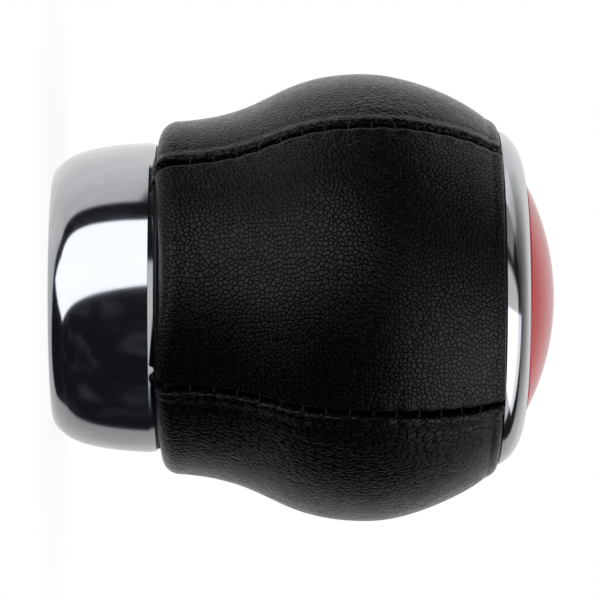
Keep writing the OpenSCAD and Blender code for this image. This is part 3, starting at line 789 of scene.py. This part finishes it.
class ChromeSettings(bpy.types.PropertyGroup):
    """Colour and gloss of the plated rings"""
    plating: colour_property("Plating", "Colour of the chrome plating", (0.56, 0.57, 0.59))
    roughness: FloatProperty(name="Roughness", description="Blur of the plating's reflections",
                             default=0.06, subtype="FACTOR", min=0, max=1)


class KNOB_OT_plate_rings(bpy.types.Operator):
    """Turn and plate the collar and the bezel"""
    bl_idname = "knob.plate_rings"
    bl_label = "Plate Rings"

    def execute(self, context):
        settings = context.scene.knob_chrome
        chrome = surface_material("Bright Chrome Plating", settings.plating, settings.roughness, 1.3,
                                  0.0012, variation=0.06, smudge=0.08, Metallic=1.0)
        collar = lathe("chrome_collar", collar_outline(), chrome)
        recess = COLLAR_H - COLLAR_SEAT - WEB_T
        low, seat, high = recess - DRILL_PAST, recess + SCREW_SEAT_DEPTH, recess + WEB_T + DRILL_PAST
        hole = [(0, low), (SCREW_SEAT_R, low), (SCREW_SEAT_R, seat), (SCREW_HOLE_R, seat),
                (SCREW_HOLE_R, high), (0, high)]
        for a in np.radians(SCREW_TURNS):
            drill(collar, hole, SCREW_AT * math.cos(a), SCREW_AT * math.sin(a))
        collar.data.set_sharp_from_angle(angle=math.radians(SHARP_ANGLE))
        settle(collar, "collar_chrome", "lower_collar")
        bezel = lathe("chrome_bezel", bezel_outline(), chrome)
        settle(bezel, "bezel_chrome", "top_bezel")
        return {"FINISHED"}


BEZEL_H, BEZEL_BULGE, BEZEL_WALL, BEZEL_W, LIP_T, NOSE_R = 3.0, 3.9, 1.3, 5.6, 1.0, 0.28


def bezel_outline():
    """The bezel's section: a round skirt, rolled over to a lip round the cap."""
    lip_r = BEZEL_R - BEZEL_W
    centre = BEZEL_TOP - BEZEL_BULGE
    reach = BEZEL_W / math.cos(math.asin((BEZEL_BULGE - BEZEL_H) / BEZEL_BULGE))

    def arc(inset, steps):
        """The skirt's curve, this far inside its outer face."""
        tall, wide = BEZEL_BULGE - inset, reach - inset
        start = math.asin((BEZEL_BULGE - BEZEL_H) / tall)
        turns = np.linspace(start, math.pi / 2, steps)
        return [(lip_r + wide * math.cos(a), centre + tall * math.sin(a)) for a in turns]

    outer = arc(0, 48)
    inner = [p for p in arc(BEZEL_WALL, 24) if p[0] > lip_r + LIP_T]
    outer = [p for p in outer if p[0] > lip_r + NOSE_R]
    nose_top = outer[-1][1]
    rounded = [(lip_r + NOSE_R * (1 - math.sin(a)), nose_top - NOSE_R * (1 - math.cos(a)))
               for a in np.radians(np.linspace(0, 90, 8))][1:]
    foot = [(lip_r, DECK_TOP), (lip_r + LIP_T, DECK_TOP)]
    return [np.array(p) for p in outer + rounded + foot + inner[::-1]]


ADHESIVE_IN_R, CAP_T, CAP_EDGE = 11.35, 2.0, 0.2


def dome_z(r, inset=0.0):
    """Height of the cap's dome at a radius, or that of its inside at the cap's thickness."""
    rise = DOME_TOP - RIM_Z
    dome_r = (CAP_R ** 2 + rise ** 2) / (2 * rise)
    return DOME_TOP - dome_r + math.sqrt((dome_r - inset) ** 2 - r * r)


class CapSettings(bpy.types.PropertyGroup):
    """Colour of the cap"""
    cap_colour: colour_property("Cap", "Colour of the cap", (0.62, 0.05, 0.056))


class KNOB_OT_mould_cap(bpy.types.Operator):
    """Mould the domed cap"""
    bl_idname = "knob.mould_cap"
    bl_label = "Mould Cap"

    def execute(self, context):
        settings = context.scene.knob_cap
        red = surface_material("Glossy Red Plastic", settings.cap_colour, 0.07, 2.5, 0.0015, variation=0.1,
                               smudge=0.06, IOR=1.5)
        outside = [(r, dome_z(r)) for r in np.linspace(0, CAP_R - CAP_EDGE, 60)]
        corner = [(CAP_R - CAP_EDGE * (1 - math.sin(a)), RIM_Z - CAP_EDGE + CAP_EDGE * math.cos(a))
                  for a in np.radians(np.linspace(10, 90, 7))]
        ceiling = [(r, dome_z(r, CAP_T)) for r in np.linspace(ADHESIVE_IN_R, 0, 30)]
        outline = outside + corner + [(CAP_R, CAP_Z), (ADHESIVE_IN_R, CAP_Z)] + ceiling
        cap = lathe("domed_cap", [np.array(p) for p in outline], red)
        settle(cap, "cap_red", "shift_cap")
        return {"FINISHED"}


# The insert

INSERT_LOW, INSERT_HIGH = box_mm("lever_insert")
BORE_R, THREAD_PITCH, THREAD_CUT, THREAD_CHAMFER, THREAD_RUNOUT = 5.375, 1.25, 0.61, 0.8, 0.8
# Shares of half a pitch: the crest's flat, the flank, and what is left for the root's flat
CREST_SHARE, FLANK_SHARE = 0.25, 0.62
ROWS_PER_PITCH = 12
KNURL_COUNT, KNURL_DEPTH, WAIST_SHARE = 24, 0.3, 8


def tapped_radius(z, angle):
    """Radius of the threaded bore at a height and an angle; the thread is right-handed."""
    chamfer = THREAD_CHAMFER - (z - INSERT_LOW[2])
    runout = min(1, (INSERT_HIGH[2] - z) / THREAD_RUNOUT)
    turn = (z / THREAD_PITCH - angle / (2 * math.pi)) % 1
    groove = np.clip((1 - np.abs(2 * turn - 1) - CREST_SHARE) / FLANK_SHARE, 0, 1)
    return BORE_R + np.maximum(THREAD_CUT * groove * runout, chamfer)


class KNOB_OT_tap_insert(bpy.types.Operator):
    """Turn, knurl and tap the brass insert"""
    bl_idname = "knob.tap_insert"
    bl_label = "Tap Insert"

    def execute(self, context):
        brass = surface_material("Turned Brass", (0.72, 0.53, 0.22), 0.28, 0.4, 0.006, Metallic=1.0)
        low, high, radius = INSERT_LOW[2], INSERT_HIGH[2], INSERT_HIGH[0]
        flank = (radius - KNURL_DEPTH / 2) * math.cos(math.pi / (2 * KNURL_COUNT))
        ridges = np.tile([radius, flank, radius - KNURL_DEPTH, flank], KNURL_COUNT)
        steps = len(ridges)
        angle = np.linspace(0, 2 * math.pi, steps, endpoint=False)
        waist = np.full(steps, radius - 3 * KNURL_DEPTH)
        middle, waist_h = (low + high) / 2, (high - low) / WAIST_SHARE
        waist_low, waist_high = middle - waist_h / 2, middle + waist_h / 2
        rows = [(ridges, low), (ridges, waist_low), (waist, waist_low),
                (waist, waist_high), (ridges, waist_high), (ridges, high)]
        for z in np.linspace(high, low, int(ROWS_PER_PITCH * (high - low) / THREAD_PITCH)):
            rows.append((tapped_radius(z, angle), z))
        points = np.concatenate([np.column_stack([r * np.cos(angle), r * np.sin(angle), np.full(steps, z)])
                                 for r, z in rows])
        index = np.arange(len(points)).reshape(len(rows), steps)
        ahead, after = np.roll(index, -1, axis=1), np.roll(index, -1, axis=0)
        faces = np.stack([index, ahead, np.roll(ahead, -1, axis=0), after], axis=-1).reshape(-1, 4)
        insert = closed_solid("tapped_insert", points, faces.tolist(), brass, 30)
        settle(insert, "insert_brass", "lever_insert")
        return {"FINISHED"}


class KNOB_OT_finish_inside(bpy.types.Operator):
    """Give the core, foam, trim, screws and adhesive their finishes"""
    bl_idname = "knob.finish_inside"
    bl_label = "Finish Inside"

    def execute(self, context):
        # Each finish: its colour, roughness, and the size and depth of its grain in millimetres
        black = surface_material("Fine Moulded Black", (0.012, 0.012, 0.013), 0.48, 0.25, 0.01)
        nylon = surface_material("Glass Filled Nylon", (0.022, 0.022, 0.024), 0.55, 0.35, 0.02)
        foam = surface_material("Moulded Foam Skin", (0.62, 0.56, 0.38), 0.85, 0.5, 0.08, variation=0.25)
        steel = surface_material("Zinc Plated Steel", (0.5, 0.51, 0.53), 0.3, 0.3, 0.006, Metallic=1.0)
        tape = surface_material("White Foam Tape", (0.8, 0.79, 0.74), 0.8, 0.3, 0.03)
        finishes = {"core": nylon, "foam_padding": foam, "trim_ring": black, "bezel_carrier": black,
                    "collar_screws": steel, "carrier_screws": steel, "cap_adhesive": tape}
        for name, material in finishes.items():
            NODES[name].data.materials.clear()
            NODES[name].data.materials.append(material)
        return {"FINISHED"}


# Studio

class StageSettings(bpy.types.PropertyGroup):
    """Strength of the studio's lights, and the camera's drop"""
    left_light: FloatProperty(name="Left Box", description="Strength of the softbox beyond the collar",
                              default=1.88)
    right_light: FloatProperty(name="Right Box", description="Strength of the softbox beyond the cap",
                               default=1.27)
    room_light: FloatProperty(name="Room", description="Strength of the room's even light", default=0.5)
    camera_drop: size_property("Camera Drop", "How far the camera stands from its aim along the axis",
                               -5.83)


# Each softbox: its direction by the photograph's right, up and towards the camera, its size and colour
LEFT_FROM, LEFT_SIZE, LEFT_COLOUR = (-0.364, 0.488, 0.793), (640, 275), (0.92, 0.95, 1.0)
LEFT_ROLL, LEFT_SLIDE = 22.0, -205
RIGHT_FROM, RIGHT_SIZE, RIGHT_COLOUR = (0.845, -0.455, 0.279), (370, 235), (0.97, 0.98, 1.0)
BOX_AWAY, BOX_AIM = 300, (0, 0, 29)
FLOOR_R, FLOOR_T = 400, 2


def photo_direction(right, up, towards):
    """A direction given by the photograph's right, up and towards the camera."""
    return (Vector((0, 0, 1)) * right + CAMERA_UP * up + CAMERA_BACK * towards).normalized()


def place_softbox(name, direction, size, strength, colour, roll=0.0, slide=0.0):
    """A softbox that faces the knob, rolled in degrees and slid in millimetres in its own plane."""
    lamp = bpy.data.lights.new(name, "AREA")
    lamp.shape, lamp.size, lamp.size_y = "RECTANGLE", size[0] * MM, size[1] * MM
    lamp.color = colour
    lamp.energy = strength * math.pi * size[0] * size[1] * MM * MM
    obj = show(bpy.data.objects.new(name, lamp))
    level = CAMERA_UP.cross(direction).normalized()
    across = level * math.cos(math.radians(roll)) + direction.cross(level) * math.sin(math.radians(roll))
    obj.location = (Vector(BOX_AIM) + direction * BOX_AWAY + across * slide) * MM
    turn = Matrix((across, direction.cross(across), direction)).transposed()
    obj.rotation_mode = "QUATERNION"
    obj.rotation_quaternion = turn.to_quaternion()
    obj.visible_camera = False


def studio_world(settings):
    """White where it is seen, dark behind the camera for reflections, and an even room light."""
    world = bpy.data.worlds.new("Studio")
    world.use_nodes = True
    tree = world.node_tree
    tree.nodes.clear()
    ray = tree.nodes.new("ShaderNodeLightPath").outputs
    direction = tree.nodes.new("ShaderNodeTexCoord").outputs["Generated"]

    def along(axis):
        """The cosine of the angle between a direction and an axis."""
        return vector_maths(tree, "DOT_PRODUCT", {0: direction, 1: tuple(axis)}, "Value")

    away = along(CAMERA_UP * 0.35 - CAMERA_BACK * 0.937)
    height = along(CAMERA_UP)
    towards_cap = add(tree, "ShaderNodeSeparateXYZ", {"Vector": direction}).outputs["Z"]

    # The white tent stands behind the knob. Its edge lags above the ball and in both lower corners
    lag = maths(tree, "MULTIPLY", ramp(tree, towards_cap, -0.1, 0.0, 0.0, 0.6),
                smooth_step(tree, height, 0.0, 0.5))
    lag = maths(tree, "MULTIPLY", lag, one_less(tree, smooth_step(tree, towards_cap, 0.36, 0.46)))
    below = one_less(tree, smooth_step(tree, height, -0.5, 0.0))
    corner = maths(tree, "MULTIPLY", smooth_step(tree, towards_cap, -0.55, -0.7), 0.2)
    corner = maths(tree, "MULTIPLY_ADD", smooth_step(tree, towards_cap, 0.2, 0.6), 0.25, corner)
    lag = maths(tree, "MULTIPLY_ADD", below, corner, lag)
    behind = smooth_step(tree, maths(tree, "SUBTRACT", away, lag), 0.08, 0.145)

    # It is brightest straight behind, and darkens towards its floor and beyond the cap
    tent = maths(tree, "MULTIPLY_ADD", maths(tree, "MAXIMUM", away, 0.0), 0.34, 0.62)
    tent = maths(tree, "MULTIPLY", tent, ramp(tree, height, -0.7, 0.3, 0.62, 1.0))
    tent = maths(tree, "MULTIPLY", tent, ramp(tree, towards_cap, 0.6, 1.0, 1.0, 0.05))
    bright = maths(tree, "MULTIPLY_ADD", behind, tent, 0.012)

    def above(degrees):
        """1 for directions past an angle above the camera's, seen along the knob's axis."""
        turn = math.radians(degrees)
        edge = along(CAMERA_UP * math.cos(turn) - CAMERA_BACK * math.sin(turn))
        return smooth_step(tree, edge, -0.05, 0.05)

    # Two pale walls beyond the cap, which the bezel shows: a low one and a dimmer one above it
    wall = smooth_step(tree, towards_cap, 0.3, 0.4)
    high_start = smooth_step(tree, towards_cap, 0.42, 0.58)
    high_wall = maths(tree, "MULTIPLY", above(42), one_less(tree, above(112)))
    high_end = smooth_step(tree, towards_cap, 0.86, 0.94)
    high_wall = maths(tree, "MULTIPLY", high_wall, maths(tree, "SUBTRACT", high_start, high_end))
    low_wall = maths(tree, "MULTIPLY", above(-104), one_less(tree, above(28)))
    walls = maths(tree, "MULTIPLY_ADD", low_wall, 0.8, maths(tree, "MULTIPLY", high_wall, 0.3))
    bright = maths(tree, "MULTIPLY_ADD", wall, walls, bright)

    # The room's clutter makes all of it a little uneven and adds faint patches
    clutter = add(tree, "ShaderNodeTexNoise", {"Vector": direction, "Scale": 3.5, "Detail": 4.0,
                                               "Distortion": 0.8}).outputs["Fac"]
    uneven = maths(tree, "MULTIPLY_ADD", smooth_step(tree, clutter, 0.35, 0.7), 0.06, 0.97)
    bright = maths(tree, "MULTIPLY", bright, uneven)
    bright = maths(tree, "MULTIPLY_ADD", smooth_step(tree, clutter, 0.5, 0.68), 0.035, bright)

    # Reflections show all this, other light is even, and the camera sees white
    shown = maths(tree, "MAXIMUM", ray["Is Glossy Ray"], ray["Is Transmission Ray"])
    soft = maths(tree, "MULTIPLY_ADD", maths(tree, "SUBTRACT", bright, settings.room_light), shown,
                 settings.room_light)
    level = maths(tree, "MAXIMUM", soft, ray["Is Camera Ray"])
    white = maths(tree, "MAXIMUM", maths(tree, "MAXIMUM", behind, wall), ray["Is Camera Ray"])
    tint = two_tones(tree, white, (0.72, 0.8, 1.0), (1, 1, 1))
    background = add(tree, "ShaderNodeBackground", {"Strength": level, "Color": tint})
    output = tree.nodes.new("ShaderNodeOutputWorld")
    tree.links.new(background.outputs[0], output.inputs["Surface"])
    bpy.context.scene.world = world


def floor_material():
    """White paper: it shows white, keeps a soft shadow near the knob and has no horizon."""
    material = bpy.data.materials.new("White Paper")
    material.use_nodes = True
    tree = material.node_tree
    tree.nodes.clear()
    place = add(tree, "ShaderNodeTexCoord").outputs["Object"]
    far = smooth_step(tree, vector_maths(tree, "LENGTH", {0: place}, "Value"), 0.018, 0.05)
    ray = tree.nodes.new("ShaderNodeLightPath").outputs
    mirrored_ray = maths(tree, "MAXIMUM", ray["Is Glossy Ray"], ray["Is Transmission Ray"])
    seen = maths(tree, "MAXIMUM", ray["Is Camera Ray"], mirrored_ray)
    fade = maths(tree, "MULTIPLY", seen, maths(tree, "MULTIPLY_ADD", far, 0.08, 0.92))
    paper = add(tree, "ShaderNodeBsdfDiffuse", {"Color": (0.9, 0.9, 0.9, 1)})
    white = add(tree, "ShaderNodeEmission", {"Color": (1, 1, 1, 1), "Strength": 1.0})
    mixed = add(tree, "ShaderNodeMixShader", {0: fade, 1: paper.outputs[0], 2: white.outputs[0]})
    output = tree.nodes.new("ShaderNodeOutputMaterial")
    tree.links.new(mixed.outputs[0], output.inputs["Surface"])
    return material


class KNOB_OT_set_stage(bpy.types.Operator):
    """Set the floor, the lights and the camera"""
    bl_idname = "knob.set_stage"
    bl_label = "Set Stage"

    def execute(self, context):
        settings = context.scene.knob_stage
        scene = context.scene
        scene.view_settings.view_transform = "Standard"
        studio_world(settings)
        paper = [(0, 0), (FLOOR_R, 0), (FLOOR_R, -FLOOR_T), (0, -FLOOR_T)]
        floor = lathe("floor", paper, floor_material(), 96)
        floor.visible_glossy = False
        floor.visible_shadow = False
        place_softbox("left_box", photo_direction(*LEFT_FROM), LEFT_SIZE, settings.left_light,
                      LEFT_COLOUR, LEFT_ROLL, LEFT_SLIDE)
        place_softbox("right_box", photo_direction(*RIGHT_FROM), RIGHT_SIZE, settings.right_light,
                      RIGHT_COLOUR)
        camera = bpy.data.cameras.new("photo_camera")
        camera.sensor_width, camera.sensor_fit = CAMERA_SENSOR, "HORIZONTAL"
        camera.lens = PHOTO_SCALE * CAMERA_AWAY * CAMERA_SENSOR / PHOTO_WIDTH
        camera.clip_start, camera.clip_end = CAMERA_CLIP
        obj = show(bpy.data.objects.new("photo_camera", camera))
        column = (PHOTO_WIDTH / 2 - PHOTO_BASE_COLUMN) / PHOTO_SCALE
        row = (PHOTO_AXIS_ROW - PHOTO_WIDTH / 2) / PHOTO_SCALE
        aim = Vector((0, 0, column)) + CAMERA_UP * row
        place = aim + CAMERA_BACK * CAMERA_AWAY + Vector((0, 0, settings.camera_drop / MM))
        back = (place - aim).normalized()
        right = CAMERA_UP.cross(back).normalized()
        up = back.cross(right)
        turn = Matrix((right, up, back)).transposed().to_4x4()
        obj.matrix_world = Matrix.Translation(place * MM) @ turn
        scene.camera = obj
        return {"FINISHED"}


class KNOB_PT_dress(bpy.types.Panel):
    """Lists the knob's sizes and colours, and the steps that build it"""
    bl_idname = "KNOB_PT_dress"
    bl_label = "Gear Shift Knob"
    bl_space_type = "VIEW_3D"
    bl_region_type = "UI"
    bl_category = "Knob"

    def draw(self, context):
        for name, group in GROUPS.items():
            for setting in group.__annotations__:
                self.layout.prop(getattr(context.scene, name), setting)
        for operator in OPERATORS:
            self.layout.operator(operator.bl_idname)


GROUPS = {"knob_cover": CoverSettings, "knob_chrome": ChromeSettings, "knob_cap": CapSettings,
          "knob_stage": StageSettings}
OPERATORS = (KNOB_OT_set_stage, KNOB_OT_sew_cover, KNOB_OT_lay_stitches, KNOB_OT_plate_rings,
             KNOB_OT_mould_cap, KNOB_OT_tap_insert, KNOB_OT_finish_inside)


def register():
    for cls in (*GROUPS.values(), *OPERATORS, KNOB_PT_dress):
        bpy.utils.register_class(cls)
    for name, group in GROUPS.items():
        setattr(bpy.types.Scene, name, PointerProperty(type=group))


def unregister():
    for name in GROUPS:
        delattr(bpy.types.Scene, name)
    for cls in reversed((*GROUPS.values(), *OPERATORS, KNOB_PT_dress)):
        bpy.utils.unregister_class(cls)


def main():
    register()
    moulded_group()
    bpy.ops.knob.set_stage()
    bpy.ops.knob.sew_cover()
    bpy.ops.knob.lay_stitches()
    bpy.ops.knob.plate_rings()
    bpy.ops.knob.mould_cap()
    bpy.ops.knob.tap_insert()
    bpy.ops.knob.finish_inside()


if __name__ == "__main__":
    main()
